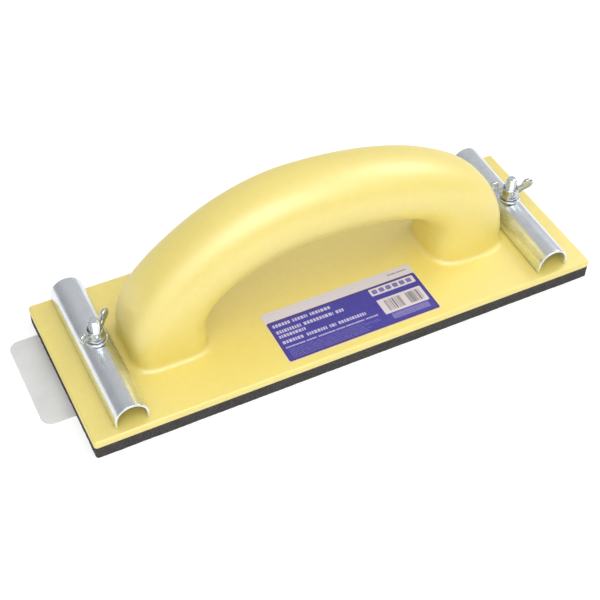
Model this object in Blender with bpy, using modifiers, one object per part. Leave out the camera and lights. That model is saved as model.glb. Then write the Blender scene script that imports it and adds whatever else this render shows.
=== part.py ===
"""Hand sanding block for drywall: a plastic plate with an arched grip, a foam pad under it, and a
half-round clamp bar at each end that a wing nut pulls down onto the ends of a sheet of sandpaper.

Frame: origin at the centre of the pad's sanding face, +X along the plate, +Z up, metres.
"""

import math

import bmesh
import bpy
from mathutils import Matrix, Vector

MM = 0.001
GAP = 0.3 * MM  # clearance kept between pieces that touch
OVERLAP = 1.0 * MM  # how far shapes reach into each other before they are joined or cut

# Driving dimensions
PLATE_LENGTH = 235.0 * MM
PLATE_WIDTH = 82.5 * MM
PLATE_THICK = 3.3 * MM
PLATE_CORNER = 1.3 * MM
PLATE_EDGE = 1.0 * MM
PAD_THICK = 6.0 * MM
GRIP_TOP = 66.5 * MM  # top of the grip above the plate
GRIP_WIDTH = 33.0 * MM
GRIP_MIDDLE_THICK = 33.0 * MM
FOOT_LEFT_THICK = 33.0 * MM
FOOT_RIGHT_THICK = 36.0 * MM
FOOT_LEFT_X = -72.3 * MM
FOOT_RIGHT_X = 71.5 * MM
FOOT_FILLET = 2.6 * MM
BOLT_X = 100.0 * MM
BOLT_Y = 1.0 * MM
BOLT_R = 2.4 * MM
BOLT_TOP = 22.0 * MM  # end of the thread above the plate
LABEL_SIZE = (73.0 * MM, 29.5 * MM)
TAB_SIZE = (38.0 * MM, 49.0 * MM)

PAD_TOP = PAD_THICK
PLATE_BOTTOM = PAD_TOP + GAP
PLATE_TOP = PLATE_BOTTOM + PLATE_THICK

# Clamp bar, washer and wing nut
CLAMP_LENGTH = 78.0 * MM
CLAMP_R = 7.4 * MM
CLAMP_SHEET = 1.1 * MM
CLAMP_LEG = 2.9 * MM
CLAMP_BASE = PLATE_TOP + GAP
CLAMP_CREST = CLAMP_BASE + CLAMP_LEG + CLAMP_R
WASHER_R = 5.0 * MM
WASHER_THICK = 0.9 * MM
WASHER_BASE = CLAMP_CREST + GAP
NUT_BASE = WASHER_BASE + WASHER_THICK + GAP
NUT_HEIGHT = 5.2 * MM
NUT_FOOT_R = 4.3 * MM
NUT_NECK_R = 3.6 * MM
WING_REACH = 10.3 * MM
WING_RISE = 9.0 * MM
WING_TIP_R = 2.4 * MM
WING_THICK = 1.9 * MM
NUT_TURNS = {"left": 38.0, "right": -17.0}  # how far each nut's wings are turned, in degrees
BAR_TURNS = {"left": 0.0, "right": -1.5}  # how far each bar sits askew on its bolt, in degrees

# Bolt head and neck, sunk in the plate's underside
HEAD_R = 6.0 * MM
HEAD_THICK = 1.0 * MM
NECK_HALF = 2.5 * MM

# Label and hanging tab
LABEL_CENTRE = (6.0 * MM, -22.1 * MM)
LABEL_THICK = 0.2 * MM
LABEL_CORNER = 2.0 * MM
TAB_CENTRE = (-111.8 * MM, 7.5 * MM)
TAB_THICK = 0.6 * MM
TAB_CORNER = 4.5 * MM

ROUND_STEPS = 40

COLOURS = {
    "yellow_plastic": ((0.93, 0.80, 0.27), 0.38, 0.0),
    "black_foam": ((0.025, 0.024, 0.023), 0.95, 0.0),
    "zinc_plated_steel": ((0.66, 0.70, 0.76), 0.25, 1.0),
    "printed_label": ((0.07, 0.06, 0.38), 0.45, 0.0),
    "frosted_plastic": ((0.62, 0.62, 0.62), 0.5, 0.0),
}


def clear_scene():
    for obj in list(bpy.data.objects):
        bpy.data.objects.remove(obj, do_unlink=True)


def new_collection(name):
    collection = bpy.data.collections.new(name)
    bpy.context.scene.collection.children.link(collection)
    return collection


def make_material(name):
    colour, roughness, metallic = COLOURS[name]
    material = bpy.data.materials.new(name)
    material.use_nodes = True
    shader = material.node_tree.nodes["Principled BSDF"]
    shader.inputs["Base Color"].default_value = (*colour, 1.0)
    shader.inputs["Roughness"].default_value = roughness
    shader.inputs["Metallic"].default_value = metallic
    return material


def add_piece(name, data, material, place=(0.0, 0.0, 0.0)):
    """A named part of the block, from a mesh or a curve."""
    piece = bpy.data.objects.new(name, data)
    piece.location = place
    data.materials.clear()
    data.materials.append(material)
    PARTS.objects.link(piece)
    return piece


def add_cutter(name, data, place=(0.0, 0.0, 0.0)):
    """A helper shape that is joined to a part or cut from it, and isn't a part itself."""
    helper = bpy.data.objects.new(name, data)
    helper.location = place
    helper.hide_render = True
    helper.display_type = "WIRE"
    CUTTERS.objects.link(helper)
    return helper


def combine(piece, helper, operation):
    modifier = piece.modifiers.new(f"{operation.lower()}_{helper.name}", "BOOLEAN")
    modifier.operation = operation
    modifier.solver = "EXACT"
    modifier.object = helper


def smooth(mesh, angle=30.0):
    mesh.shade_smooth()
    mesh.set_sharp_from_angle(angle=math.radians(angle))
    return mesh


def finish_mesh(work, name):
    bmesh.ops.recalc_face_normals(work, faces=work.faces)
    mesh = bpy.data.meshes.new(name)
    work.to_mesh(mesh)
    work.free()
    return smooth(mesh)


def box(name, low, high):
    work = bmesh.new()
    bmesh.ops.create_cube(work, size=1.0)
    low, high = Vector(low), Vector(high)
    size = Matrix.Diagonal((*(high - low), 1.0))
    bmesh.ops.transform(work, matrix=Matrix.Translation((low + high) / 2) @ size, verts=work.verts)
    return finish_mesh(work, name)


def slab(name, size, thick, corner, edge=0.0):
    """A flat plate on z = 0 with round corners in plan, and a rounded rim on top if edge is given."""
    work = bmesh.new()
    bmesh.ops.create_cube(work, size=1.0)
    scale = Matrix.Diagonal((*size, thick, 1.0))
    lift = Matrix.Translation((0.0, 0.0, thick / 2))
    bmesh.ops.transform(work, matrix=lift @ scale, verts=work.verts)
    upright = [e for e in work.edges if abs(e.verts[0].co.z - e.verts[1].co.z) > thick / 2]
    bmesh.ops.bevel(work, geom=upright, offset=corner, segments=6, profile=0.5, affect="EDGES")
    if edge:
        rim = [e for e in work.edges if all(abs(v.co.z - thick) < 1e-6 for v in e.verts)]
        bmesh.ops.bevel(work, geom=rim, offset=edge, segments=4, profile=0.5, affect="EDGES")
    return finish_mesh(work, name)


def cylinder(name, radius, low, high):
    work = bmesh.new()
    bmesh.ops.create_cone(
        work, cap_ends=True, segments=ROUND_STEPS, radius1=radius, radius2=radius, depth=high - low
    )
    bmesh.ops.translate(work, vec=(0.0, 0.0, (low + high) / 2), verts=work.verts)
    return finish_mesh(work, name)


def turned(name, profile, closed):
    """A mesh of (radius, height) points, running down the outer side, for a Screw modifier."""
    work = bmesh.new()
    points = [work.verts.new((radius, 0.0, height)) for radius, height in profile]
    for start, end in zip(points, points[1:]):
        work.edges.new((start, end))
    if closed:
        work.edges.new((points[-1], points[0]))
    mesh = bpy.data.meshes.new(name)
    work.to_mesh(mesh)
    work.free()
    return mesh


def spin(piece):
    modifier = piece.modifiers.new("turned", "SCREW")
    modifier.steps = ROUND_STEPS
    modifier.render_steps = ROUND_STEPS
    modifier.use_merge_vertices = True
    modifier.merge_threshold = 0.00001
    modifier.use_smooth_shade = True


def outline_mesh(name, points, thick):
    """A flat outline in X and Z given half its thickness to each side of Y = 0, as a mesh."""
    curve = bpy.data.curves.new(name, "CURVE")
    curve.dimensions = "2D"
    curve.fill_mode = "BOTH"
    curve.extrude = thick / 2
    spline = curve.splines.new("POLY")
    spline.points.add(len(points) - 1)
    for point, (x, z) in zip(spline.points, points):
        point.co = (x, z, 0.0, 1.0)
    spline.use_cyclic_u = True
    guide = bpy.data.objects.new(f"{name}_outline", curve)
    guide.rotation_euler = (math.pi / 2, 0.0, 0.0)
    CUTTERS.objects.link(guide)
    graph = bpy.context.evaluated_depsgraph_get()
    mesh = bpy.data.meshes.new_from_object(guide.evaluated_get(graph))
    mesh.transform(guide.matrix_world)
    bpy.data.objects.remove(guide, do_unlink=True)
    work = bmesh.new()
    work.from_mesh(mesh)
    bmesh.ops.remove_doubles(work, verts=work.verts, dist=1e-6)
    bpy.data.meshes.remove(mesh)
    return finish_mesh(work, name)


def arc(centre, radius, start, end, steps):
    """Points on an arc from the start angle to the end angle, in degrees."""
    points = []
    for step in range(steps + 1):
        angle = math.radians(start + (end - start) * step / steps)
        points.append((centre[0] + radius * math.cos(angle), centre[1] + radius * math.sin(angle)))
    return points


# ---- Plate and grip, one moulding ----


def bezier(points, t):
    """A point on the cubic curve of four control points, and its direction."""
    a, b, c, d = (Vector(point) for point in points)
    s = 1.0 - t
    place = a * s**3 + b * 3 * s * s * t + c * 3 * s * t * t + d * t**3
    along = (b - a) * s * s + (c - b) * 2 * s * t + (d - c) * t * t
    return place, along.normalized()


def grip_spine():
    """Stations along the middle of the grip: place, direction, and how far along it is, 0 to 1.

    The left side leans over in a long slope and the right side turns down steeply.
    """
    straight = 8.0 * MM
    crest = GRIP_TOP - GRIP_MIDDLE_THICK / 2
    left = [
        (FOOT_LEFT_X, straight),
        (FOOT_LEFT_X, 0.56 * crest),
        (-42.0 * MM, crest),
        (-8.0 * MM, crest),
    ]
    right = [
        (-8.0 * MM, crest),
        (34.0 * MM, crest),
        (FOOT_RIGHT_X, 0.76 * crest),
        (FOOT_RIGHT_X, straight),
    ]
    steps = 20
    up, down = Vector((0.0, 1.0)), Vector((0.0, -1.0))
    foot = [-OVERLAP] + [FOOT_FILLET * (1 - math.cos(math.radians(a))) for a in (0, 25, 45, 62, 78, 90)]
    stations = [(Vector((FOOT_LEFT_X, height)), up, 0.0) for height in foot]
    for side, curve in enumerate((left, right)):
        for step in range(1 if side else 0, steps + 1):
            t = step / steps
            place, along = bezier(curve, t)
            stations.append((place, along, (side + t) / 2))
    stations += [(Vector((FOOT_RIGHT_X, height)), down, 1.0) for height in reversed(foot)]
    return stations


def grip_half_thickness(share):
    """Half the grip's thickness, eased from one share of its length to the next.

    The grip is fullest in the middle and above its feet, and slimmest at its two bends.
    """
    stations = (
        (0.0, FOOT_LEFT_THICK),
        (0.25, 0.95 * GRIP_MIDDLE_THICK),
        (0.45, GRIP_MIDDLE_THICK),
        (0.76, 0.87 * GRIP_MIDDLE_THICK),
        (1.0, FOOT_RIGHT_THICK),
    )
    for (start, low), (end, high) in zip(stations, stations[1:]):
        if share <= end:
            t = (share - start) / (end - start)
            break
    return (low + (high - low) * t * t * (3 - 2 * t)) / 2


def fillet_width(height):
    """How far the foot spreads at a height above the plate, for a quarter-round fillet."""
    left = FOOT_FILLET - min(max(height, 0.0), FOOT_FILLET)
    return FOOT_FILLET - math.sqrt(FOOT_FILLET**2 - left**2)


def grip_power(share):
    """Power of the grip's section: squarest at the left foot, less so at the right, round between."""
    squarer = 2.2 if share < 0.5 else 0.9
    left = max(0.0, 1.0 - min(share, 1.0 - share) / 0.25)
    return 2.2 + squarer * left * left


def grip_mesh():
    """The grip lofted along its spine."""
    work = bmesh.new()
    rings = []
    for place, along, share in grip_spine():
        spread = fillet_width(place.y) if share in (0.0, 1.0) else 0.0
        across = GRIP_WIDTH / 2 + spread
        thick = grip_half_thickness(share) + spread
        normal = Vector((-along.y, along.x))
        squareness = 2 / grip_power(share)
        ring = []
        for step in range(ROUND_STEPS):
            angle = 2 * math.pi * step / ROUND_STEPS
            c, s = math.cos(angle), math.sin(angle)
            side = across * math.copysign(abs(c) ** squareness, c)
            rise = thick * math.copysign(abs(s) ** squareness, s)
            point = place + normal * rise
            ring.append(work.verts.new((point.x, side, PLATE_TOP + point.y)))
        rings.append(ring)
    for lower, upper in zip(rings, rings[1:]):
        for step in range(ROUND_STEPS):
            after = (step + 1) % ROUND_STEPS
            work.faces.new((lower[step], lower[after], upper[after], upper[step]))
    work.faces.new(rings[0])
    work.faces.new(rings[-1])
    return finish_mesh(work, "grip")


def build_body():
    plate = slab("sander_body", (PLATE_LENGTH, PLATE_WIDTH), PLATE_THICK, PLATE_CORNER, PLATE_EDGE)
    plate.transform(Matrix.Translation((0.0, 0.0, PLATE_BOTTOM)))
    body = add_piece("sander_body", plate, MATERIALS["yellow_plastic"])
    combine(body, add_cutter("grip", grip_mesh()), "UNION")
    pocket_top = PLATE_BOTTOM + HEAD_THICK + GAP
    pocket = cylinder("head_pocket", HEAD_R + GAP, PLATE_BOTTOM - OVERLAP, pocket_top)
    reach = NECK_HALF + GAP
    square = box("neck_hole", (-reach, -reach, PLATE_BOTTOM), (reach, reach, PLATE_TOP + OVERLAP))
    for side, bolt_x in BOLTS.items():
        place = (bolt_x, BOLT_Y, 0.0)
        combine(body, add_cutter(f"{side}_head_pocket", pocket, place), "DIFFERENCE")
        combine(body, add_cutter(f"{side}_neck_hole", square, place), "DIFFERENCE")


def build_pad():
    pad = slab("foam_pad", (PLATE_LENGTH, PLATE_WIDTH), PAD_THICK, PLATE_CORNER)
    piece = add_piece("foam_pad", pad, MATERIALS["black_foam"])
    half_long, half_wide = TAB_SIZE[0] / 2 + GAP, TAB_SIZE[1] / 2 + GAP
    x, y = TAB_CENTRE
    low = (x - half_long, y - half_wide, -OVERLAP)
    high = (x + half_long, y + half_wide, TAB_THICK + GAP)
    combine(piece, add_cutter("tab_recess", box("tab_recess", low, high)), "DIFFERENCE")


# ---- Clamp bars, bolts, washers and wing nuts ----


def clamp_mesh():
    """A half-round channel bent from sheet, open below, with the bolt's hole in its crest."""
    inner = CLAMP_R - CLAMP_SHEET
    outside = arc((0.0, CLAMP_LEG), CLAMP_R, 0.0, 180.0, 20)
    inside = arc((0.0, CLAMP_LEG), inner, 180.0, 0.0, 20)
    feet_left = [(-CLAMP_R, 0.0), (-inner, 0.0)]
    feet_right = [(inner, 0.0), (CLAMP_R, 0.0)]
    return outline_mesh("clamp_bar", outside + feet_left + inside + feet_right, CLAMP_LENGTH)


def bolt_mesh():
    """Thin flat head, and the plain shank of the thread's outer diameter with a chamfered end."""
    chamfer = 0.4 * MM
    top = PLATE_TOP + BOLT_TOP
    head = PLATE_BOTTOM
    profile = [
        (0.0, top),
        (BOLT_R - chamfer, top),
        (BOLT_R, top - chamfer),
        (BOLT_R, head + HEAD_THICK),
        (HEAD_R, head + HEAD_THICK),
        (HEAD_R, head),
        (0.0, head),
    ]
    return turned("bolt", profile, closed=False)


def washer_mesh():
    inner = BOLT_R + GAP
    profile = [(WASHER_R, WASHER_THICK), (WASHER_R, 0.0), (inner, 0.0), (inner, WASHER_THICK)]
    return turned("washer", profile, closed=True)


def nut_hub_mesh():
    """The nut's round body: a wide foot, a waist and a plain bore that clears the bolt."""
    inner = BOLT_R + GAP
    profile = [
        (NUT_NECK_R, NUT_HEIGHT),
        (NUT_NECK_R + 0.2 * MM, 0.45 * NUT_HEIGHT),
        (NUT_FOOT_R, 0.2 * NUT_HEIGHT),
        (NUT_FOOT_R, 0.0),
        (inner, 0.0),
        (inner, NUT_HEIGHT),
    ]
    return turned("wing_nut", profile, closed=True)


def wing_outline():
    """One ear of the nut, at +X: it leans outwards from the hub and ends in a round tip."""
    tip = (WING_REACH - WING_TIP_R, WING_RISE - WING_TIP_R)
    root = NUT_NECK_R - 0.4 * MM
    lower = [(root, 0.22 * NUT_HEIGHT), (root + 1.6 * MM, 0.3 * NUT_HEIGHT)]
    round_tip = arc(tip, WING_TIP_R, -35.0, 165.0, 12)
    upper = [(root + 0.9 * MM, 0.85 * NUT_HEIGHT), (root, 0.8 * NUT_HEIGHT)]
    return lower + round_tip + upper


def wing_mesh(name, side):
    mesh = outline_mesh(name, wing_outline(), WING_THICK)
    if side < 0:
        mesh.transform(Matrix.Rotation(math.pi, 4, "Z"))
    return mesh


def build_fastening(side, bolt_x, shapes):
    """Everything that stands on one bolt: the bar, its washer and its wing nut."""
    steel = MATERIALS["zinc_plated_steel"]
    bolt = add_piece(f"{side}_bolt", shapes["bolt"], steel, (bolt_x, BOLT_Y, 0.0))
    spin(bolt)
    neck = box(
        f"{side}_neck",
        (-NECK_HALF, -NECK_HALF, PLATE_BOTTOM + HEAD_THICK / 2),
        (NECK_HALF, NECK_HALF, PLATE_TOP),
    )
    combine(bolt, add_cutter(f"{side}_neck", neck, bolt.location), "UNION")

    bar = add_piece(f"{side}_clamp_bar", shapes["clamp"], steel, (bolt_x, BOLT_Y, CLAMP_BASE))
    bar.rotation_euler = (0.0, 0.0, math.radians(BAR_TURNS[side]))
    hole = cylinder(f"{side}_bar_hole", BOLT_R + GAP, 0.0, CLAMP_LEG + CLAMP_R + OVERLAP)
    combine(bar, add_cutter(f"{side}_bar_hole", hole, bar.location), "DIFFERENCE")

    washer = add_piece(f"{side}_washer", shapes["washer"], steel, (bolt_x, BOLT_Y, WASHER_BASE))
    spin(washer)

    nut = add_piece(f"{side}_wing_nut", shapes["nut"], steel, (bolt_x, BOLT_Y, NUT_BASE))
    spin(nut)
    nut.rotation_euler = (0.0, 0.0, math.radians(NUT_TURNS[side]))
    for number, ear_side in enumerate((1, -1)):
        name = f"{side}_wing_{number}"
        ear = add_cutter(name, wing_mesh(name, ear_side), nut.location)
        ear.rotation_euler = nut.rotation_euler
        combine(nut, ear, "UNION")


def build_label():
    label = slab("label", LABEL_SIZE, LABEL_THICK, LABEL_CORNER)
    add_piece("label", label, MATERIALS["printed_label"], (*LABEL_CENTRE, PLATE_TOP + GAP))


def build_tab():
    tab = slab("hang_tab", TAB_SIZE, TAB_THICK, TAB_CORNER)
    add_piece("hang_tab", tab, MATERIALS["frosted_plastic"], (*TAB_CENTRE, 0.0))


clear_scene()
PARTS = new_collection("sanding_block")
CUTTERS = new_collection("cutters")
CUTTERS.hide_render = True
MATERIALS = {name: make_material(name) for name in COLOURS}
BOLTS = {"left": -BOLT_X, "right": BOLT_X}

build_body()
build_pad()
shared = {
    "bolt": bolt_mesh(),
    "clamp": clamp_mesh(),
    "washer": washer_mesh(),
    "nut": nut_hub_mesh(),
}
for bolt_side, bolt_place in BOLTS.items():
    build_fastening(bolt_side, bolt_place, shared)
build_label()
build_tab()
bpy.context.view_layer.update()
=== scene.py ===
"""Looks of the hand sanding block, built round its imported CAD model.

Frame: origin at the centre of the pad's sanding face, +X along the plate, +Y away from the label,
+Z up, metres. Every piece is made in that frame and then rides on its CAD body.
"""

import math
import random

import bmesh
import bpy
from mathutils import Matrix, Vector, noise


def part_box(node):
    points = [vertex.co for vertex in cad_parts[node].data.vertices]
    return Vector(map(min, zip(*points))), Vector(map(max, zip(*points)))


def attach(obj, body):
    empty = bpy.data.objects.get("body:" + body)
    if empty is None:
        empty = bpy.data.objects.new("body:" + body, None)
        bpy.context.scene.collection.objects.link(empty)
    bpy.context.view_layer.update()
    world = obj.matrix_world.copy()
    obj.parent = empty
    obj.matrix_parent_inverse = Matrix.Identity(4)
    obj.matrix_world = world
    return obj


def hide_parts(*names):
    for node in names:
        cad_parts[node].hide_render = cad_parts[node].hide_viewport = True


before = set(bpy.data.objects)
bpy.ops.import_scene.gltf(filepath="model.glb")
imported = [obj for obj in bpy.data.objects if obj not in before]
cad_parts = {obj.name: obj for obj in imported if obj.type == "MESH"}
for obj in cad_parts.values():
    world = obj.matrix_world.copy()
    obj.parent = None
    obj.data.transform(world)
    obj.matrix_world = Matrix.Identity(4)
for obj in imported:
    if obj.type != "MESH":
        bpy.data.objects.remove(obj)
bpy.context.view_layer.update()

MM = 0.001
GAP = 0.3 * MM  # clearance that the CAD model keeps between pieces that touch
SIT = 0.03 * MM  # hairline left between pieces that are stuck together

# Plate and grip, as in the CAD source
PLATE_CORNER = 1.3 * MM
PLATE_EDGE = 1.0 * MM
GRIP_TOP = 66.5 * MM
GRIP_WIDTH = 33.0 * MM
GRIP_MIDDLE_THICK = 33.0 * MM
FOOT_LEFT_THICK = 33.0 * MM
FOOT_RIGHT_THICK = 36.0 * MM
FOOT_LEFT_X = -72.3 * MM
FOOT_RIGHT_X = 71.5 * MM
FOOT_FILLET = 2.6 * MM
FOOT_STRAIGHT = 8.0 * MM
GRIP_STEPS = 112

# Foam pad
FOAM_EDGE = 0.5 * MM
FOAM_STEP = 0.7 * MM
FOAM_LAYERS = 12
FOAM_WANDER = 0.12 * MM  # how far a cut side strays over its length
FOAM_PITS = 0.14 * MM
WANDER_RATE = 90.0  # noise features per metre
PIT_RATE = 900.0
TAB_CORNER = 4.5 * MM

# Clamp bar, stud, washer and wing nut
SIDES = ("left", "right")
CLAMP_R = 7.4 * MM
BAR_LENGTH = 78.0 * MM
BAR_SEED = {"left": 3.0, "right": 8.0}
SHEET = 1.1 * MM
SHEET_EDGE = 0.3 * MM
BAR_TURN = {"left": 0.0, "right": -1.5}
BAR_DENT = 0.05 * MM
DENT_RATE = 45.0
STUD_R = 2.4 * MM
THREAD_PITCH = 0.8 * MM
THREAD_DEPTH = 0.45 * MM
HEAD_R = 6.0 * MM
HEAD_THICK = 1.0 * MM
NECK_HALF = 2.5 * MM
NECK_FIT = 0.985  # share of its nominal size that the neck is made
NUT_TURN = {"left": 38.0, "right": -17.0}
NUT_HEIGHT = 5.2 * MM
NUT_NECK_R = 3.6 * MM
WING_REACH = 10.3 * MM
WING_RISE = 9.0 * MM
WING_TIP_R = 2.4 * MM
WING_THICK = 1.9 * MM

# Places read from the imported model
body_low, body_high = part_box("sander_body")
pad_low, pad_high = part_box("foam_pad")
label_low, label_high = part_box("label")
tab_low, tab_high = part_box("hang_tab")
PLATE_BOTTOM = body_low.z
PLATE_TOP = label_low.z - GAP

# Corners of a square, in order round it
SQUARE = ((-1, -1), (1, -1), (1, 1), (-1, 1))

# Camera, at the angle of the product view: from the front left and well above
CAMERA_PLACE = (-0.1830, -0.3390, 0.4003)
CAMERA_ANGLES = (-27.4, 46.2, 1.15)  # azimuth, elevation and roll, in degrees
CAMERA_LENS = 75.0


# ---- Mesh helpers ----


def new_piece(name, mesh, materials):
    """An object of the mesh, with the materials in order, linked to the scene."""
    piece = bpy.data.objects.new(name, mesh)
    for material in materials:
        mesh.materials.append(material)
    bpy.context.scene.collection.objects.link(piece)
    return piece


def to_mesh(work, name, angle=35.0):
    """The finished mesh of a bmesh, smooth but for edges sharper than the angle."""
    bmesh.ops.recalc_face_normals(work, faces=work.faces)
    mesh = bpy.data.meshes.new(name)
    work.to_mesh(mesh)
    work.free()
    mesh.shade_smooth()
    mesh.set_sharp_from_angle(angle=math.radians(angle))
    return mesh


def loft(rings, name, angle=35.0, joined=False):
    """A mesh through rings of as many points each. The ends are capped, or joined to each other."""
    work = bmesh.new()
    made = [[work.verts.new(point) for point in ring] for ring in rings]
    pairs = list(zip(made, made[1:]))
    if joined:
        pairs.append((made[-1], made[0]))
    count = len(made[0])
    for lower, upper in pairs:
        for step in range(count):
            after = (step + 1) % count
            work.faces.new((lower[step], lower[after], upper[after], upper[step]))
    if not joined:
        work.faces.new(list(reversed(made[0])))
        work.faces.new(made[-1])
    return to_mesh(work, name, angle)


def circle(radius, height, steps, centre=(0.0, 0.0)):
    """Points round a level circle."""
    turn = 2 * math.pi / steps
    return [
        (centre[0] + radius * math.cos(turn * i), centre[1] + radius * math.sin(turn * i), height)
        for i in range(steps)
    ]


def lathe(profile, name, steps=96, closed=False):
    """A turned mesh of (radius, height) points, closed on itself like a ring or capped at its ends."""
    return loft([circle(r, z, steps) for r, z in profile], name, joined=closed)


def rounded_rectangle(half_x, half_y, corner, step):
    """Points round a rectangle with round corners, about a step apart, as (x, y, outward)."""
    points = []
    corners = ((1, 1, 0), (-1, 1, 90), (-1, -1, 180), (1, -1, 270))
    arc_steps = max(3, round(corner * math.pi / 2 / step))
    for sign_x, sign_y, start in corners:
        centre = Vector((sign_x * (half_x - corner), sign_y * (half_y - corner)))
        for i in range(arc_steps + 1):
            angle = math.radians(start + 90 * i / arc_steps)
            out = Vector((math.cos(angle), math.sin(angle)))
            points.append((centre + out * corner, out))
    filled = []
    for (here, out), (there, next_out) in zip(points, points[1:] + points[:1]):
        filled.append((here, out))
        extra = int((there - here).length / step) if (out - next_out).length < 1e-6 else 0
        for i in range(1, extra):
            filled.append((here.lerp(there, i / extra), out))
    return filled


def quarter_round(radius, steps):
    """Points (depth, inset) round an edge, from where the round starts on the side to the face."""
    points = []
    for i in range(steps + 1):
        angle = math.pi / 2 * i / steps
        points.append((radius * (1 - math.sin(angle)), radius * (1 - math.cos(angle))))
    return points


def slab(low, high, corner, top_edge, bottom_edge, name, step=1.0 * MM, edge_steps=6):
    """A flat plate with round corners, and a quarter-round rim above and below."""
    half_x, half_y = (high.x - low.x) / 2, (high.y - low.y) / 2
    middle = (low + high) / 2
    outline = rounded_rectangle(half_x, half_y, corner, step)
    levels = [(low.z + depth, inset) for depth, inset in reversed(quarter_round(bottom_edge, edge_steps))]
    levels += [(high.z - depth, inset) for depth, inset in quarter_round(top_edge, edge_steps)]
    rings = []
    for z, inset in levels:
        rings.append(
            [(middle.x + p.x - out.x * inset, middle.y + p.y - out.y * inset, z) for p, out in outline]
        )
    return loft(rings, name)


def apply_modifiers(piece):
    """Replaces the piece's mesh with what its modifiers make of it."""
    graph = bpy.context.evaluated_depsgraph_get()
    finished = bpy.data.meshes.new_from_object(piece.evaluated_get(graph))
    piece.modifiers.clear()
    old = piece.data
    finished.name = old.name
    piece.data = finished
    bpy.data.meshes.remove(old)


def combine(piece, helpers, operation, angle=35.0):
    """Joins the piece with helper meshes, or cuts it by them."""
    tools = []
    for number, mesh in enumerate(helpers):
        tool = new_piece(f"tool_{number}", mesh, [])
        tools.append(tool)
        modifier = piece.modifiers.new(tool.name, "BOOLEAN")
        modifier.operation = operation
        modifier.solver = "EXACT"
        modifier.object = tool
    apply_modifiers(piece)
    for tool in tools:
        bpy.data.objects.remove(tool)
    piece.data.shade_smooth()
    piece.data.set_sharp_from_angle(angle=math.radians(angle))


def settle(piece, body, slot_name, *nodes):
    """Puts the finished piece on its CAD body, in place of the CAD nodes."""
    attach(piece, body)
    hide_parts(*nodes)


# ---- Material helpers ----


class Nodes:
    """A procedural material: a Principled shader fed by noise in the object's own coordinates."""

    def __init__(self, name, **fixed):
        self.material = bpy.data.materials.new(name)
        self.material.use_nodes = True
        self.tree = self.material.node_tree
        self.shader = self.tree.nodes["Principled BSDF"]
        for socket, value in fixed.items():
            self.shader.inputs[socket.replace("_", " ")].default_value = value
        self.place = self.tree.nodes.new("ShaderNodeTexCoord").outputs["Object"]

    def link(self, source, target):
        """Joins an output to an input."""
        self.tree.links.new(source, target)

    def stretched(self, scale):
        """The object's coordinates, scaled along each axis."""
        node = self.tree.nodes.new("ShaderNodeMapping")
        node.inputs["Scale"].default_value = scale
        self.link(self.place, node.inputs["Vector"])
        return node.outputs["Vector"]

    def noise(self, size, detail=3.0, roughness=0.55, stretch=None):
        """Noise with features about the given size, in metres."""
        node = self.tree.nodes.new("ShaderNodeTexNoise")
        node.inputs["Scale"].default_value = 1.0 / size
        node.inputs["Detail"].default_value = detail
        node.inputs["Roughness"].default_value = roughness
        self.link(self.stretched(stretch) if stretch else self.place, node.inputs["Vector"])
        return node.outputs["Fac"]

    def cells(self, size):
        """Distance from the middle of each cell, for cells about the given size."""
        node = self.tree.nodes.new("ShaderNodeTexVoronoi")
        node.inputs["Scale"].default_value = 1.0 / size
        self.link(self.place, node.inputs["Vector"])
        return node.outputs["Distance"]

    def ramp(self, source, *stops):
        """The source value turned into a colour or a grey by (position, value) stops."""
        node = self.tree.nodes.new("ShaderNodeValToRGB")
        elements = node.color_ramp.elements
        while len(elements) < len(stops):
            elements.new(0.5)
        for element, (position, value) in zip(elements, stops):
            element.position = position
            colour = value if isinstance(value, tuple) else (value, value, value)
            element.color = (*colour, 1.0)
        self.link(source, node.inputs["Fac"])
        return node.outputs["Color"]

    def multiplied(self, first, second):
        """One colour times another."""
        node = self.tree.nodes.new("ShaderNodeMix")
        node.data_type = "RGBA"
        node.blend_type = "MULTIPLY"
        node.inputs[0].default_value = 1.0
        self.link(first, node.inputs[6])
        self.link(second, node.inputs[7])
        return node.outputs[2]

    def colour(self, source):
        """Makes the source the base colour."""
        self.link(source, self.shader.inputs["Base Color"])

    def rough(self, source, low, high):
        """Roughness from low to high as the source goes over its middle range."""
        grey = self.ramp(source, (0.3, low), (0.7, high))
        self.link(grey, self.shader.inputs["Roughness"])

    def bump(self, height, depth, under=None):
        """A bump of the given depth, in metres, on top of an earlier one if there is one."""
        node = self.tree.nodes.new("ShaderNodeBump")
        node.inputs["Distance"].default_value = depth
        self.link(height, node.inputs["Height"])
        if under:
            self.link(under, node.inputs["Normal"])
        self.link(node.outputs["Normal"], self.shader.inputs["Normal"])
        return node.outputs["Normal"]


def yellow_plastic():
    """Satin moulded plastic, slightly translucent, with faint flow marks and a fine skin texture."""
    m = Nodes(
        "yellow_plastic_skin",
        Subsurface_Weight=0.12,
        Subsurface_Scale=0.0025,
        Subsurface_Radius=(1.0, 0.6, 0.2),
        IOR=1.9,
        Specular_IOR_Level=0.9,
    )
    tone = m.ramp(m.noise(45 * MM, 2.0), (0.35, (0.825, 0.675, 0.145)), (0.65, (0.84, 0.69, 0.153)))
    specks = m.ramp(m.noise(3 * MM, 4.0), (0.35, 0.975), (0.65, 1.0))
    m.colour(m.multiplied(tone, specks))
    m.rough(m.noise(9 * MM, 4.0), 0.42, 0.48)
    waves = m.bump(m.noise(24 * MM, 1.0), 0.08 * MM)
    m.bump(m.noise(0.5 * MM, 2.0), 0.008 * MM, waves)
    return m.material


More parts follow.
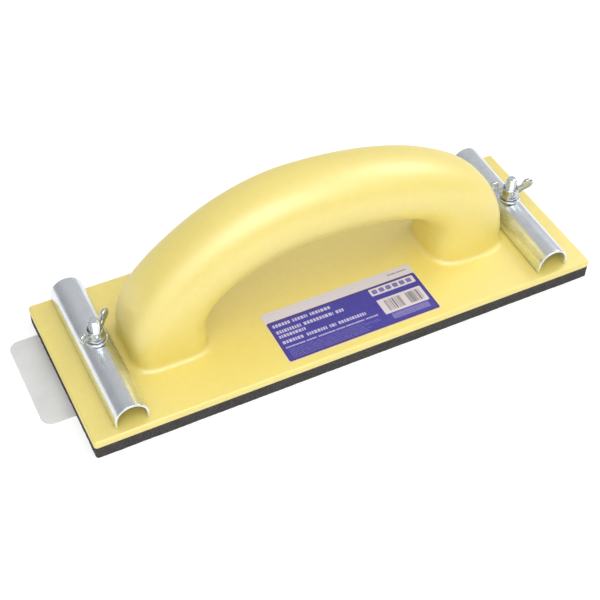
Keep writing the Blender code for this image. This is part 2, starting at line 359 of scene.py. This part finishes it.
def black_foam():
    """Closed-cell foam: small open pores on its cut sides, with painted shade darkening the pore hollows
    and paler cell rims between them.
    """
    m = Nodes("foam_cells", Specular_IOR_Level=0.25)
    pores = m.cells(0.7 * MM)
    fine = m.cells(0.32 * MM)
    # Painted shade: the colour is darkest in the middle of each cell, where the bump sinks a pore.
    walls_and_pore_shade = m.ramp(pores, (0.1, (0.030, 0.028, 0.027)), (0.6, (0.075, 0.071, 0.068)))
    dust = m.ramp(m.noise(6 * MM, 4.0), (0.4, 0.82), (0.7, 1.0))
    m.colour(m.multiplied(walls_and_pore_shade, dust))
    m.rough(m.noise(2 * MM), 0.8, 0.95)
    under = m.bump(pores, 0.16 * MM)
    m.bump(fine, 0.07 * MM, under)
    return m.material


def zinc(name, grain, rough_range, shade=1.0):
    """Bright zinc plating: bluish, with drawn lines or a cast skin, and faint stains. A shade below 1
    makes the whole colour darker as painted shade.
    """
    m = Nodes(name, Metallic=1.0)
    stops = (
        (0.3, (0.74, 0.79, 0.86)),
        (0.52, (0.80, 0.84, 0.89)),
        (0.72, (0.83, 0.85, 0.87)),
    )
    # Painted shade: a shade below 1 makes every colour stop darker, in place of darker reflections.
    painted_shade_stops = [(position, tuple(value * shade for value in colour)) for position, colour in stops]
    tone = m.ramp(m.noise(7 * MM, 3.0), *painted_shade_stops)
    stain = m.ramp(m.noise(1.6 * MM, 4.0), (0.32, 0.96), (0.5, 1.0))
    m.colour(m.multiplied(tone, stain))
    m.rough(m.noise(2.5 * MM, 4.0, stretch=grain), *rough_range)
    m.bump(m.noise(0.5 * MM, 3.0, stretch=grain), 0.002 * MM)
    return m.material


def printed(name, light, dark):
    """Printed film: ink with a faint mottle, under a satin coat."""
    m = Nodes(name, Coat_Weight=0.25, Coat_Roughness=0.25)
    m.colour(m.ramp(m.noise(1.2 * MM, 4.0), (0.35, dark), (0.65, light)))
    m.rough(m.noise(6 * MM, 3.0), 0.34, 0.46)
    m.bump(m.noise(4 * MM, 2.0), 0.02 * MM)
    return m.material


def frosted_plastic():
    """Thin frosted sheet: milky, and rough on both sides."""
    m = Nodes("frosted_sheet", Transmission_Weight=0.35, IOR=1.45)
    m.colour(m.ramp(m.noise(9 * MM, 3.0), (0.35, (0.80, 0.80, 0.795)), (0.65, (0.85, 0.85, 0.845))))
    m.rough(m.noise(4 * MM, 3.0), 0.48, 0.62)
    m.bump(m.noise(0.6 * MM, 3.0), 0.02 * MM)
    return m.material


# ---- Plate and grip ----


def bezier(points, t):
    """A point on the cubic curve of four control points, and its direction."""
    a, b, c, d = (Vector(point) for point in points)
    s = 1.0 - t
    place = a * s**3 + b * 3 * s * s * t + c * 3 * s * t * t + d * t**3
    along = (b - a) * s * s + (c - b) * 2 * s * t + (d - c) * t * t
    return place, along.normalized()


def grip_spine():
    """Stations along the middle of the grip: place, direction, and how far along it is, 0 to 1."""
    crest = GRIP_TOP - GRIP_MIDDLE_THICK / 2
    left = [
        (FOOT_LEFT_X, FOOT_STRAIGHT),
        (FOOT_LEFT_X, 0.56 * crest),
        (-42.0 * MM, crest),
        (-8.0 * MM, crest),
    ]
    right = [
        (-8.0 * MM, crest),
        (34.0 * MM, crest),
        (FOOT_RIGHT_X, 0.76 * crest),
        (FOOT_RIGHT_X, FOOT_STRAIGHT),
    ]
    steps = 56
    fillet_steps = 10
    foot = [-1.0 * MM]
    for i in range(fillet_steps + 1):
        foot.append(FOOT_FILLET * (1 - math.cos(math.pi / 2 * i / fillet_steps)))
    up, down = Vector((0.0, 1.0)), Vector((0.0, -1.0))
    stations = [(Vector((FOOT_LEFT_X, height)), up, 0.0) for height in foot]
    for side, curve in enumerate((left, right)):
        for step in range(1 if side else 0, steps + 1):
            t = step / steps
            place, along = bezier(curve, t)
            stations.append((place, along, (side + t) / 2))
    stations += [(Vector((FOOT_RIGHT_X, height)), down, 1.0) for height in reversed(foot)]
    return stations


def grip_half_thickness(share):
    """Half the grip's thickness: fullest in the middle and at its feet, slimmest at its two bends."""
    stations = (
        (0.0, FOOT_LEFT_THICK),
        (0.25, 0.95 * GRIP_MIDDLE_THICK),
        (0.45, GRIP_MIDDLE_THICK),
        (0.76, 0.87 * GRIP_MIDDLE_THICK),
        (1.0, FOOT_RIGHT_THICK),
    )
    for (start, low), (end, high) in zip(stations, stations[1:]):
        if share <= end:
            t = (share - start) / (end - start)
            break
    return (low + (high - low) * t * t * (3 - 2 * t)) / 2


def fillet_width(height):
    """How far the foot spreads at a height above the plate, for a quarter-round fillet."""
    left = FOOT_FILLET - min(max(height, 0.0), FOOT_FILLET)
    return FOOT_FILLET - math.sqrt(FOOT_FILLET**2 - left**2)


def grip_power(share):
    """Power of the grip's section: squarest at the left foot, less so at the right, round between."""
    squarer = 2.2 if share < 0.5 else 0.9
    left = max(0.0, 1.0 - min(share, 1.0 - share) / 0.25)
    return 2.2 + squarer * left * left


def grip_mesh():
    """The grip lofted along its spine, each section a rounded superellipse."""
    rings = []
    for place, along, share in grip_spine():
        spread = fillet_width(place.y) if share in (0.0, 1.0) else 0.0
        across = GRIP_WIDTH / 2 + spread
        thick = grip_half_thickness(share) + spread
        normal = Vector((-along.y, along.x))
        power = 2 / grip_power(share)
        ring = []
        for step in range(GRIP_STEPS):
            angle = 2 * math.pi * step / GRIP_STEPS
            c, s = math.cos(angle), math.sin(angle)
            side = across * math.copysign(abs(c) ** power, c)
            point = place + normal * thick * math.copysign(abs(s) ** power, s)
            ring.append((point.x, side, PLATE_TOP + point.y))
        rings.append(ring)
    return loft(rings, "grip")


def build_body(skin):
    """Plate and grip as one moulding, with a pocket and a square hole for each bolt."""
    low = Vector((body_low.x, body_low.y, PLATE_BOTTOM))
    high = Vector((body_high.x, body_high.y, PLATE_TOP))
    plate = slab(low, high, PLATE_CORNER, PLATE_EDGE, 0.3 * MM, "plate_and_grip", step=6 * MM)
    body = new_piece("plate_and_grip", plate, [skin])
    combine(body, [grip_mesh()], "UNION")
    cutters = []
    for side in SIDES:
        axis = bolt_axis(side)
        pocket_top = PLATE_BOTTOM + HEAD_THICK + GAP
        pocket = [circle(HEAD_R + GAP, z, 64, axis) for z in (PLATE_BOTTOM - GAP, pocket_top)]
        cutters.append(loft(pocket, "pocket"))
        reach = NECK_HALF + GAP
        square = [
            [(axis.x + sx * reach, axis.y + sy * reach, z) for sx, sy in SQUARE]
            for z in (PLATE_BOTTOM, PLATE_TOP + GAP)
        ]
        cutters.append(loft(square, "neck_hole"))
    combine(body, cutters, "DIFFERENCE")
    settle(body, "sander", "yellow_plastic", "sander_body")


# ---- Foam pad and hanging tab ----


def build_foam(skin):
    """The pad with cut sides that wander a little and a soft lower edge, recessed over the tab."""
    half_x, half_y = (pad_high.x - pad_low.x) / 2, (pad_high.y - pad_low.y) / 2
    outline = rounded_rectangle(half_x, half_y, PLATE_CORNER, FOAM_STEP)
    top = PLATE_BOTTOM - SIT
    levels = [(pad_low.z + depth, inset) for depth, inset in reversed(quarter_round(FOAM_EDGE, 4))]
    first = levels[-1][0]
    for i in range(1, FOAM_LAYERS + 1):
        levels.append((first + (top - first) * i / FOAM_LAYERS, 0.0))
    rings = []
    for number, (z, inset) in enumerate(levels):
        edge = number in (0, len(levels) - 1)
        ring = []
        for p, out in outline:
            spot = Vector((p.x, p.y, z))
            wander = FOAM_WANDER * noise.noise(spot * WANDER_RATE)
            pits = 0.0 if edge else FOAM_PITS * noise.noise(spot * PIT_RATE)
            shift = wander + pits - inset - FOAM_WANDER
            ring.append((p.x + out.x * shift, p.y + out.y * shift, z))
        rings.append(ring)
    foam = new_piece("foam_sheet", loft(rings, "foam_sheet", 50.0), [skin])
    reach = Vector((GAP, GAP, GAP))
    low, high = tab_low - reach, tab_high + reach
    recess = [
        [(x, y, z) for x, y in ((low.x, low.y), (high.x, low.y), (high.x, high.y), (low.x, high.y))]
        for z in (-1.0 * MM, high.z)
    ]
    combine(foam, [loft(recess, "tab_recess")], "DIFFERENCE", 50.0)
    settle(foam, "sander", "black_foam", "foam_pad")


def build_tab(skin):
    """The hanging tab: a thin flat sheet with round corners."""
    tab = slab(tab_low, tab_high, TAB_CORNER, 0.2 * MM, 0.2 * MM, "hang_tab_sheet", edge_steps=4)
    settle(new_piece("hang_tab_sheet", tab, [skin]), "sander", "frosted_plastic", "hang_tab")


# ---- Clamp bars, studs, washers and wing nuts ----


def bolt_axis(side):
    """Where a side's bolt stands, seen from above."""
    low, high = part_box(f"{side}_washer")
    middle = (low + high) / 2
    return Vector((middle.x, middle.y))


def channel_outline(leg, half, trim):
    """The outline of the bent sheet: a half circle with two legs, half a thickness to each side."""
    middle = CLAMP_R - SHEET / 2
    points = []
    arc_steps = 56
    for i in range(arc_steps + 1):
        a = math.pi * i / arc_steps
        points.append(((middle + half) * math.cos(a), leg + (middle + half) * math.sin(a)))
    tip_steps = 6
    for i in range(tip_steps + 1):
        a = math.pi * i / tip_steps
        rise = trim + half * (1 - math.sin(a))
        points.append((-middle - half * math.cos(a), rise))
    for i in range(arc_steps + 1):
        a = math.pi * (1 - i / arc_steps)
        points.append(((middle - half) * math.cos(a), leg + (middle - half) * math.sin(a)))
    for i in range(tip_steps + 1):
        a = math.pi * i / tip_steps
        rise = trim + half * (1 - math.sin(a))
        points.append((middle - half * math.cos(a), rise))
    return points


def build_bar(side, skin):
    """The clamp bar: a channel rolled from sheet, with broken edges and a hole for the stud."""
    low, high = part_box(f"{side}_clamp_bar")
    axis = bolt_axis(side)
    leg = high.z - low.z - CLAMP_R
    turn = Matrix.Rotation(math.radians(BAR_TURN[side]), 4, "Z")
    front = [(-BAR_LENGTH / 2 + depth, inset) for depth, inset in reversed(quarter_round(SHEET_EDGE, 5))]
    start = front[-1][0]
    inner_steps = 60
    stations = front + [(start - 2 * start * i / inner_steps, 0.0) for i in range(1, inner_steps)]
    stations += [(-y, inset) for y, inset in reversed(front)]
    rings = []
    for y, inset in stations:
        ring = []
        for x, z in channel_outline(leg, SHEET / 2 - inset, inset):
            spot = Vector((x * 0.6, y, z * 0.6)) * DENT_RATE + Vector((BAR_SEED[side], 0.0, 0.0))
            dent = BAR_DENT * noise.noise(spot)
            out = Vector((x, 0.0, max(z - leg, 0.0))).normalized()
            point = turn @ (Vector((x, y, z)) + out * (dent - BAR_DENT))
            ring.append((axis.x + point.x, axis.y + point.y, low.z + point.z))
        rings.append(ring)
    name = f"{side}_bar_channel"
    bar = new_piece(name, loft(rings, name, 40.0), [skin])
    hole = [circle(STUD_R + GAP, z, 64, axis) for z in (low.z - GAP, high.z + 1.0 * MM)]
    combine(bar, [loft(hole, "bar_hole")], "DIFFERENCE", 40.0)
    settle(bar, f"{side}_clamp_bar", "zinc_plated_steel", f"{side}_clamp_bar")


def thread_radius(z, angle, start, end):
    """The stud's radius at a height and an angle: a 60 degree thread that runs out below."""
    phase = (z / THREAD_PITCH - angle / (2 * math.pi)) % 1.0
    ridge = min(max(abs(2 * phase - 1) * 1.35 - 0.15, 0.0), 1.0)
    fade = min(max((z - start) / (1.2 * THREAD_PITCH), 0.0), 1.0)
    radius = STUD_R - THREAD_DEPTH * fade * (1 - ridge)
    chamfer = 0.55 * MM
    return min(radius, STUD_R - chamfer + (end - z))


def build_stud(side, skin):
    """A carriage bolt: thin head in its pocket, square neck, and a real thread up to its end."""
    low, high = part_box(f"{side}_bolt")
    axis = bolt_axis(side)
    steps = 60
    shoulder = low.z + HEAD_THICK
    rings = []

    def ring(radius_at, z):
        points = []
        for i in range(steps):
            angle = 2 * math.pi * (i + 0.5) / steps
            radius = radius_at(angle)
            points.append((axis.x + radius * math.cos(angle), axis.y + radius * math.sin(angle), z))
        rings.append(points)

    def square(angle):
        return NECK_HALF / max(abs(math.cos(angle)), abs(math.sin(angle))) * NECK_FIT

    rim = 0.3 * MM
    ring(lambda angle: HEAD_R - rim, low.z)
    ring(lambda angle: HEAD_R, low.z + rim)
    ring(lambda angle: HEAD_R, shoulder - rim)
    ring(lambda angle: HEAD_R - rim, shoulder)
    ring(square, shoulder + 0.05 * MM)
    ring(square, PLATE_TOP - 0.2 * MM)
    ring(lambda angle: STUD_R, PLATE_TOP)
    start = PLATE_TOP + 2.0 * MM
    ring(lambda angle: STUD_R, start)
    rise = THREAD_PITCH / 12
    count = int((high.z - start) / rise)
    for i in range(1, count + 1):
        z = start + (high.z - start) * i / count
        ring(lambda angle, z=z: thread_radius(z, angle, start, high.z), z)
    name = f"{side}_threaded_stud"
    stud = new_piece(name, loft(rings, name, 50.0), [skin])
    settle(stud, "sander", "zinc_plated_steel", f"{side}_bolt")


def build_washer(side, skin):
    """A flat washer with round rims."""
    low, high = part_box(f"{side}_washer")
    axis = bolt_axis(side)
    outer, inner = (high.x - low.x) / 2, STUD_R + GAP
    rim = 0.22 * MM
    steps = 5
    profile = []
    corners = (
        (outer - rim, high.z - rim, 90),
        (outer - rim, low.z + rim, 0),
        (inner + rim, low.z + rim, -90),
        (inner + rim, high.z - rim, -180),
    )
    for r, z, start in corners:
        for i in range(steps + 1):
            a = math.radians(start - 90 * i / steps)
            profile.append((r + rim * math.cos(a), z + rim * math.sin(a)))
    mesh = lathe(profile, f"{side}_flat_washer", closed=True)
    mesh.transform(Matrix.Translation((axis.x, axis.y, 0.0)))
    washer = new_piece(f"{side}_flat_washer", mesh, [skin])
    settle(washer, f"{side}_washer", "zinc_plated_steel", f"{side}_washer")


def ear_rings(side):
    """One ear of the nut as a cushion-like solid: a round rim, and faces dished between rim and root."""
    tip = Vector((WING_REACH - WING_TIP_R, WING_RISE - WING_TIP_R))
    root = NUT_NECK_R - 1.4 * MM
    outline = [Vector((root, 0.6 * MM)), Vector((root + 2.2 * MM, 1.3 * MM))]
    outline += [Vector((root + 3.9 * MM, 2.9 * MM))]
    for i in range(15):
        a = math.radians(-38 + 200 * i / 14)
        outline.append(tip + Vector((math.cos(a), math.sin(a))) * WING_TIP_R)
    outline += [Vector((root + 2.8 * MM, 5.3 * MM)), Vector((root + 1.4 * MM, 4.5 * MM))]
    outline += [Vector((root, 4.3 * MM))]
    dense = []
    for here, there in zip(outline, outline[1:] + outline[:1]):
        parts = max(1, round((there - here).length / (0.5 * MM)))
        dense += [here.lerp(there, i / parts) for i in range(parts)]
    centre = sum(dense, Vector((0.0, 0.0))) / len(dense)
    shares = (0.02, 0.2, 0.4, 0.55, 0.68, 0.78, 0.87, 0.93, 0.97, 1.0)
    half = WING_THICK / 2
    layers = []
    for share in shares:
        rim = math.sqrt(max(0.0, 1 - ((max(share, 0.78) - 0.78) / 0.22) ** 2))
        dish = 1.0 - 0.28 * max(0.0, 1 - (share / 0.8) ** 4)
        layers.append((share, half * rim * dish))
    rings = []
    for sign, order in ((1, layers), (-1, list(reversed(layers))[1:])):
        for share, thick in order:
            ring = []
            for point in dense:
                spot = centre + (point - centre) * share
                along = spot.x * side
                ring.append((along, sign * thick * side, spot.y))
            rings.append(ring)
    return rings


def nut_mesh():
    """A die-cast wing nut: hub and ears melted into one another, with a bore and a flat foot."""
    hub = []
    for r, z in (
        (0.0, NUT_HEIGHT),
        (2.9, NUT_HEIGHT),
        (3.35, NUT_HEIGHT - 0.15 * MM),
        (3.6, NUT_HEIGHT - 0.55 * MM),
        (3.65, 2.6 * MM),
        (3.85, 1.7 * MM),
        (4.2, 1.15 * MM),
        (4.3, 0.8 * MM),
        (4.3, 0.25 * MM),
        (4.1, 0.0),
        (0.0, 0.0),
    ):
        hub.append((max(r * MM, 0.01 * MM), z))
    work = bmesh.new()
    for mesh in (lathe(hub, "hub", 64), loft(ear_rings(1), "ear"), loft(ear_rings(-1), "ear")):
        work.from_mesh(mesh)
        bpy.data.meshes.remove(mesh)
    nut = new_piece("nut_shape", to_mesh(work, "nut_shape"), [])
    melt = nut.modifiers.new("melt", "REMESH")
    melt.mode = "VOXEL"
    melt.voxel_size = 0.17 * MM
    ease = nut.modifiers.new("ease", "SMOOTH")
    ease.factor = 0.6
    ease.iterations = 7
    thin = nut.modifiers.new("thin", "DECIMATE")
    thin.ratio = 0.45
    apply_modifiers(nut)
    bore = [
        circle(STUD_R + GAP + 0.7 * MM, -0.1 * MM, 64),
        circle(STUD_R + GAP, 0.5 * MM, 64),
        circle(STUD_R + GAP, NUT_HEIGHT - 0.55 * MM, 64),
        circle(STUD_R + GAP + 0.75 * MM, NUT_HEIGHT + 0.15 * MM, 64),
    ]
    combine(nut, [loft(bore, "bore")], "DIFFERENCE", 45.0)
    mesh = nut.data
    bpy.data.objects.remove(nut)
    return mesh


def build_nut(side, shape, skin):
    """A wing nut on its stud, turned as it was left after tightening."""
    low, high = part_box(f"{side}_wing_nut")
    axis = bolt_axis(side)
    mesh = shape.copy()
    mesh.name = f"{side}_cast_nut"
    turn = Matrix.Rotation(math.radians(NUT_TURN[side]), 4, "Z")
    mesh.transform(Matrix.Translation((axis.x, axis.y, low.z)) @ turn)
    nut = new_piece(f"{side}_cast_nut", mesh, [skin])
    settle(nut, f"{side}_wing_nut", "zinc_plated_steel", f"{side}_wing_nut")


# ---- Label ----


class Label:
    """The printed label: a film, and thin printed shapes laid on it, as one mesh."""

    def __init__(self):
        self.work = bmesh.new()
        self.level = PLATE_TOP + SIT
        self.corner = Vector((label_low.x, label_low.y))

    def shape(self, points, low, high, ink):
        """A flat closed shape of label points, in millimetres, between two heights."""
        rings = []
        for z in (low, high):
            ring = []
            for x, y in points:
                place = (self.corner.x + x * MM, self.corner.y + y * MM, self.level + z * MM)
                ring.append(self.work.verts.new(place))
            rings.append(ring)
        faces = [self.work.faces.new(list(reversed(rings[0]))), self.work.faces.new(rings[1])]
        count = len(points)
        for i in range(count):
            after = (i + 1) % count
            faces.append(
                self.work.faces.new((rings[0][i], rings[0][after], rings[1][after], rings[1][i]))
            )
        for face in faces:
            face.material_index = ink

    def bar(self, x0, y0, x1, y1, ink, layer=1, corner=0.0):
        """A rectangle, with round corners if a radius is given. Each layer lies on the one below."""
        low = 0.1 + 0.02 * (layer - 1) + 0.002
        if corner:
            middle = Vector(((x0 + x1) / 2, (y0 + y1) / 2))
            outline = rounded_rectangle((x1 - x0) / 2, (y1 - y0) / 2, corner, 0.3)
            points = [(middle.x + p.x, middle.y + p.y) for p, _ in outline]
        else:
            points = [(x0, y0), (x1, y0), (x1, y1), (x0, y1)]
        self.shape(points, low, low + 0.018, ink)

    def words(self, x, y, height, widths, ink, layer=2):
        """A line of greeked words: rows of plain blocks, no letters."""
        for width in widths:
            end = x + width
            while x < end - 0.2:
                stroke = CHANCE.uniform(0.5, 1.1) * height * 0.5
                self.bar(x, y, min(x + stroke, end), y + height * 0.7, ink, layer)
                x += stroke + 0.16 * height
            x = end + 0.55 * height


WHITE, BLUE, VIOLET, BORDER, DARK, PALE = range(6)
CHANCE = random.Random(11)


def build_label(skins):
    """The label: a white film with a blue field, greeked words, two panels and plain code bars."""
    label = Label()
    wide, tall = (label_high.x - label_low.x) / MM, (label_high.y - label_low.y) / MM
    film = [(wide / 2 + p.x, tall / 2 + p.y) for p, _ in rounded_rectangle(wide / 2, tall / 2, 1.0, 0.4)]
    label.shape(film, 0.0, 0.1, WHITE)
    field_top = 23.8
    label.bar(0.35, 0.35, wide - 0.35, field_top, BORDER, 1, 0.9)
    label.bar(1.1, 1.1, wide - 1.1, field_top - 0.7, BLUE, 2, 0.6)
    for y, height, widths in (
        (20.1, 2.4, (8.0, 7.0, 10.0)),
        (16.3, 2.5, (11.5, 14.0, 4.0)),
        (13.7, 2.3, (12.5,)),
        (10.2, 2.4, (10.0, 9.5, 3.0, 13.0)),
        (7.6, 1.1, (9.0, 5.0, 8.0, 4.0, 9.0, 6.0)),
    ):
        label.words(2.2, y, height, widths, PALE, 3)
    for row in range(7):
        y = 6.3 - 0.8 * row
        label.words(2.6, y, 0.42, [CHANCE.uniform(2.0, 5.0) for _ in range(10)], VIOLET, 3)
    label.bar(49.0, 18.4, 71.0, 22.6, WHITE, 3, 0.5)
    for step in range(6):
        x = 50.0 + 3.4 * step
        label.bar(x, 19.3, x + 2.5, 21.7, VIOLET, 4, 0.5)
    label.bar(49.3, 6.5, 70.9, 15.5, WHITE, 3, 0.4)
    for start, end in ((52.2, 60.3), (62.5, 69.0)):
        x = start
        while x < end:
            width = CHANCE.choice((0.25, 0.25, 0.45, 0.7))
            label.bar(x, 7.8, x + width, 14.3, DARK, 4)
            x += width + CHANCE.choice((0.25, 0.4, 0.6))
    label.bar(51.4, 2.7, 69.5, 5.9, VIOLET, 3, 0.6)
    label.words(61.1, 26.6, 0.9, (4.0, 5.0), DARK, 1)
    mesh = bpy.data.meshes.new("printed_film")
    bmesh.ops.recalc_face_normals(label.work, faces=label.work.faces)
    label.work.to_mesh(mesh)
    label.work.free()
    film_piece = new_piece("printed_film", mesh, skins)
    settle(film_piece, "sander", "printed_label", "label")


# ---- Build the pieces ----

build_body(yellow_plastic())
build_foam(black_foam())
build_tab(frosted_plastic())
drawn_zinc = zinc("zinc_drawn_sheet", (1.0, 0.05, 1.0), (0.20, 0.33))
# Painted shade: the cast nuts' zinc is made 0.72 times as bright, standing in for their darker
# reflections.
cast_zinc_painted_shade = zinc("zinc_cast_painted_shade", (1.0, 1.0, 1.0), (0.14, 0.26), 0.72)
turned_zinc = zinc("zinc_turned", (0.6, 0.6, 1.6), (0.14, 0.26))
nut_shape = nut_mesh()
for side_name in SIDES:
    build_bar(side_name, drawn_zinc)
    build_stud(side_name, turned_zinc)
    build_washer(side_name, turned_zinc)
    build_nut(side_name, nut_shape, cast_zinc_painted_shade)
bpy.data.meshes.remove(nut_shape)
build_label(
    [
        printed("label_white", (0.68, 0.64, 0.70), (0.64, 0.60, 0.67)),
        printed("label_blue", (0.052, 0.046, 0.37), (0.040, 0.036, 0.31)),
        printed("label_violet", (0.20, 0.18, 0.48), (0.15, 0.135, 0.42)),
        printed("label_border", (0.09, 0.035, 0.16), (0.06, 0.025, 0.12)),
        printed("label_dark", (0.16, 0.14, 0.18), (0.11, 0.09, 0.13)),
        printed("label_pale", (0.56, 0.54, 0.74), (0.48, 0.46, 0.68)),
    ]
)


# ---- Floor, light and camera ----


def build_floor():
    """A plain pale floor that glows a little, like a lit white table."""
    work = bmesh.new()
    bmesh.ops.create_circle(work, cap_ends=True, radius=25.0, segments=64)
    bmesh.ops.translate(work, vec=(0.0, 0.0, -0.05 * MM), verts=work.verts)
    made = bpy.data.materials.new("pale_floor")
    made.use_nodes = True
    shader = made.node_tree.nodes["Principled BSDF"]
    shader.inputs["Base Color"].default_value = (0.42, 0.42, 0.42, 1.0)
    shader.inputs["Roughness"].default_value = 0.9
    shader.inputs["Emission Color"].default_value = (1.0, 1.0, 1.0, 1.0)
    shader.inputs["Emission Strength"].default_value = 0.65
    floor = new_piece("floor", to_mesh(work, "floor"), [made])


def area_light(name, place, size, power):
    """A soft rectangular light aimed at the middle of the object."""
    data = bpy.data.lights.new(name, "AREA")
    data.shape = "RECTANGLE"
    data.size, data.size_y = size
    data.energy = power
    lamp = bpy.data.objects.new(name, data)
    lamp.location = place
    away = Vector(place) - Vector((0.0, 0.0, 0.03))
    lamp.rotation_euler = away.to_track_quat("Z", "Y").to_euler()
    bpy.context.scene.collection.objects.link(lamp)


def build_light():
    """A white room, brighter towards the back right, and three soft lights."""
    world = bpy.data.worlds.new("studio")
    world.use_nodes = True
    tree = world.node_tree
    background = tree.nodes["Background"]
    background.inputs["Color"].default_value = (1.0, 1.0, 1.0, 1.0)
    where = tree.nodes.new("ShaderNodeTexCoord")
    facing = tree.nodes.new("ShaderNodeVectorMath")
    facing.operation = "DOT_PRODUCT"
    facing.inputs[1].default_value = Vector((0.5, 0.55, 0.67)).normalized()
    glow = tree.nodes.new("ShaderNodeMapRange")
    glow.interpolation_type = "SMOOTHSTEP"
    glow.inputs["From Min"].default_value = 0.1
    glow.inputs["From Max"].default_value = 1.0
    glow.inputs["To Min"].default_value = 0.38
    glow.inputs["To Max"].default_value = 0.6
    tree.links.new(where.outputs["Generated"], facing.inputs[0])
    tree.links.new(facing.outputs["Value"], glow.inputs["Value"])
    tree.links.new(glow.outputs["Result"], background.inputs["Strength"])
    bpy.context.scene.world = world
    area_light("key", (-0.1, -0.62, 1.0), (1.3, 0.9), 9.5)
    area_light("fill", (-1.0, -0.6, 0.6), (1.2, 1.0), 2.5)
    area_light("side", (1.1, 0.15, 0.95), (0.7, 0.7), 5.5)


def build_camera():
    """The camera, turned from its three angles."""
    azimuth, elevation, roll = (math.radians(angle) for angle in CAMERA_ANGLES)
    back = Vector(
        (
            math.sin(azimuth) * math.cos(elevation),
            -math.cos(azimuth) * math.cos(elevation),
            math.sin(elevation),
        )
    )
    level = Vector((math.cos(azimuth), math.sin(azimuth), 0.0))
    upright = back.cross(level)
    right = level * math.cos(roll) + upright * math.sin(roll)
    up = upright * math.cos(roll) - level * math.sin(roll)
    data = bpy.data.cameras.new("camera")
    data.sensor_width = 36.0
    data.lens = CAMERA_LENS
    data.clip_start, data.clip_end = 0.01, 100.0
    camera = bpy.data.objects.new("camera", data)
    turn = Matrix((right, up, back)).transposed().to_4x4()
    camera.matrix_world = Matrix.Translation(CAMERA_PLACE) @ turn
    bpy.context.scene.collection.objects.link(camera)
    bpy.context.scene.camera = camera


build_floor()
build_light()
build_camera()
bpy.context.scene.view_settings.view_transform = "Standard"
